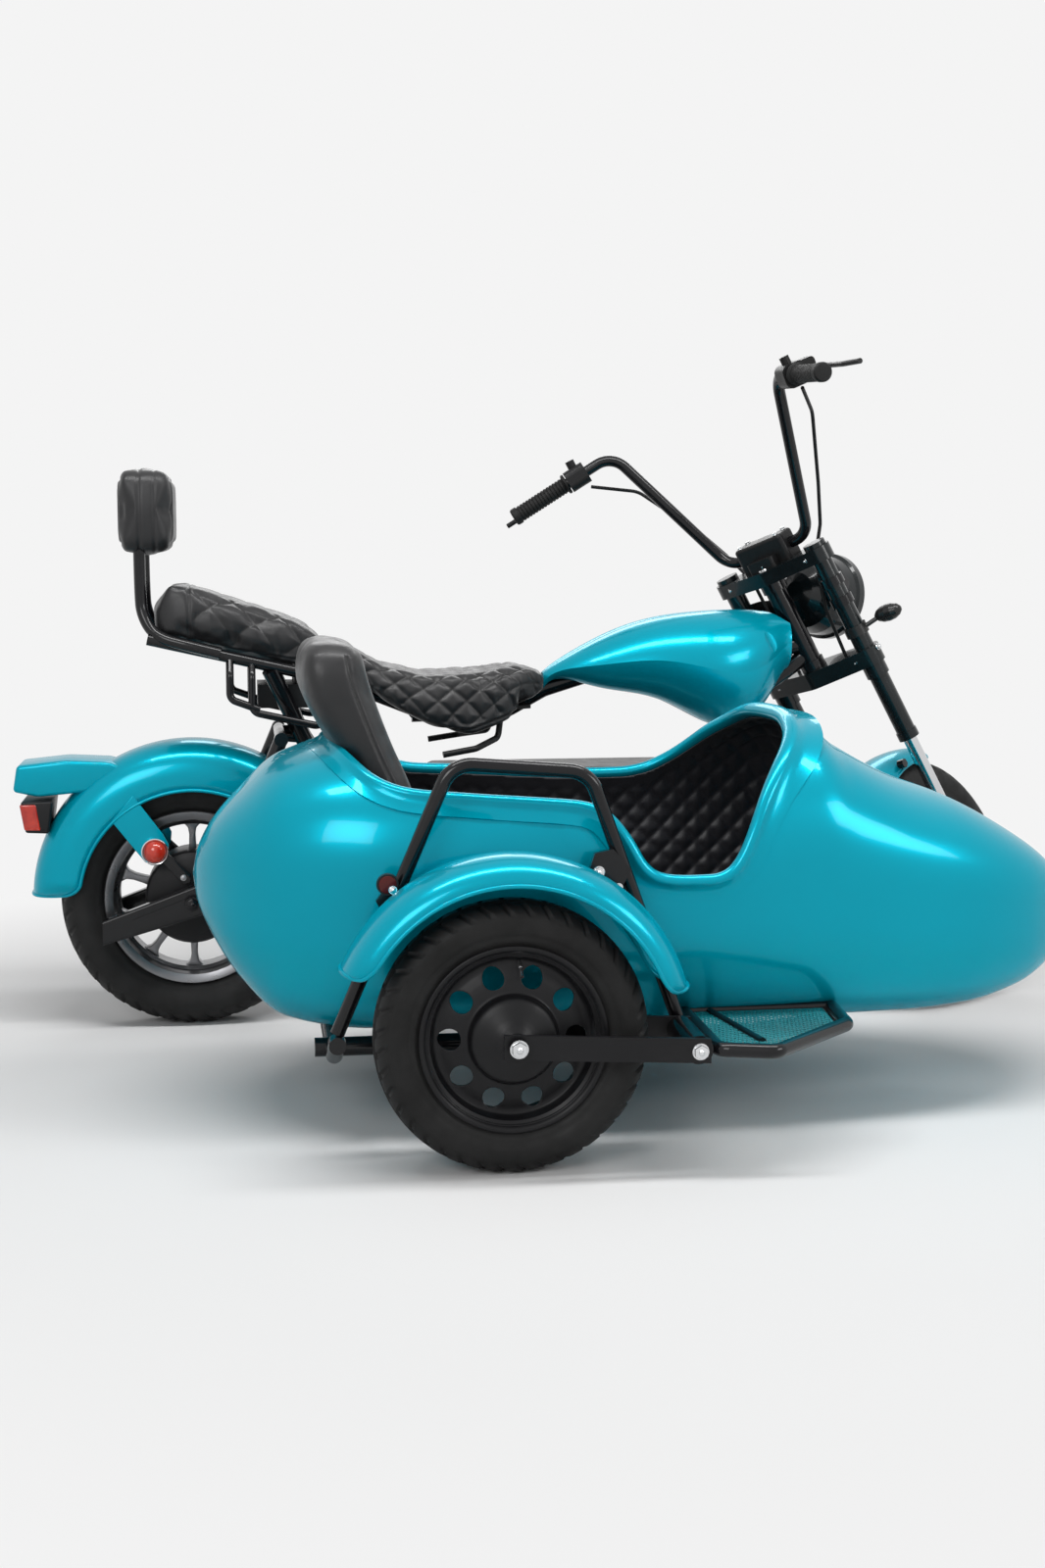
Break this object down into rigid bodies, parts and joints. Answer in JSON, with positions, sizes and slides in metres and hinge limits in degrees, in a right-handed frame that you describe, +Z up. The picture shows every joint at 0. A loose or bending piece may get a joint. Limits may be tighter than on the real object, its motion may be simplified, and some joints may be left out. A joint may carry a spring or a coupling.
{
  "type": "electric cruiser motorcycle with sidecar",
  "caption": "Electric cruiser motorcycle with a single-seat sidecar: high handlebar, sprung two-piece saddle with backrest, open boat-shaped sidecar on a tubular chassis.",
  "frame": {"origin": "on the floor, under the middle of the machine as it stands", "axes": "+X forward, +Y to the rider's left, +Z up"},
  "size_m": [1.9958, 1.3733, 1.2534],
  "materials": {
    "teal_paint": "gloss metallic teal",
    "tyre": "moulded rubber",
    "rim_grey": "dark silver cast",
    "wheel_black": "satin black",
    "frame_black": "gloss black powder coat",
    "case_black": "satin black",
    "chrome": "bright plated",
    "leather": "soft black leather, sewn",
    "lining": "quilted black lining",
    "grip_rubber": "ribbed rubber",
    "mesh_teal": "expanded mesh, painted",
    "red_lens": "red lens",
    "lens_dark": "smoked lens",
    "clear_lens": "clear moulded lens"
  },
  "bodies": {
    "root": {"backrest_bar": "frame_black", "backrest_pad": "leather", "battery_box": "case_black", "connecting_struts": "frame_black", "controller_box": "case_black", "foot_pegs": "grip_rubber", "footboard_frame": "frame_black", "footboard_mesh": "mesh_teal", "fuel_tank": "teal_paint", "main_frame": "frame_black", "pillion_seat": "leather", "rear_fender": "teal_paint", "rear_shocks": "chrome", "rider_seat": "leather", "seat_pan": "case_black", "side_hoop": "frame_black", "side_lamps": "red_lens", "sidecar_body": "teal_paint", "sidecar_chassis": "frame_black", "sidecar_cushion": "leather", "sidecar_fender": "teal_paint", "sidecar_lining": "lining", "sidecar_seat_back": "leather", "swingarm": "frame_black", "tail_lamp": "red_lens", "upper_struts": "frame_black", "wheel_bars": "wheel_black"},
    "rear_wheel": {"rear_tyre": "tyre", "rear_rim": "rim_grey"},
    "sidecar_wheel": {"sidecar_tyre": "tyre", "sidecar_rim": "wheel_black"},
    "fork": {"upper_yoke": "case_black", "lower_yoke": "case_black", "fork_sleeves": "case_black", "stanchions": "chrome", "front_fender": "teal_paint", "headlamp": "case_black", "handlebar": "frame_black", "bar_clamp": "case_black", "grips": "grip_rubber", "indicators": "lens_dark", "bar_controls": "case_black", "headlamp_lens": "clear_lens", "brake_hoses": "case_black", "front_caliper": "frame_black", "lamp_brackets": "frame_black"},
    "front_wheel": {"front_tyre": "tyre", "front_rim": "rim_grey", "front_disc": "chrome"}
  },
  "joints": [
    {"name": "rear_wheel_spin", "type": "hinge", "parent": "root", "child": "rear_wheel", "pos_m": [-0.672, 0.43, 0.247], "axis": [0, 1, 0], "continuous": true},
    {"name": "sidecar_wheel_spin", "type": "hinge", "parent": "root", "child": "sidecar_wheel", "pos_m": [-0.195, -0.584, 0.202], "axis": [0, 1, 0], "continuous": true},
    {"name": "steering", "type": "hinge", "parent": "root", "child": "fork", "pos_m": [0.529, 0.43, 0.7], "axis": [-0.4679, 0, 0.8838], "range_deg": [-86, 0]},
    {"name": "front_wheel_spin", "type": "hinge", "parent": "fork", "child": "front_wheel", "pos_m": [0.79316, 0.44705, 0.24016], "axis": [-0.6027, 0.7314, -0.3191], "continuous": true}
  ]
}
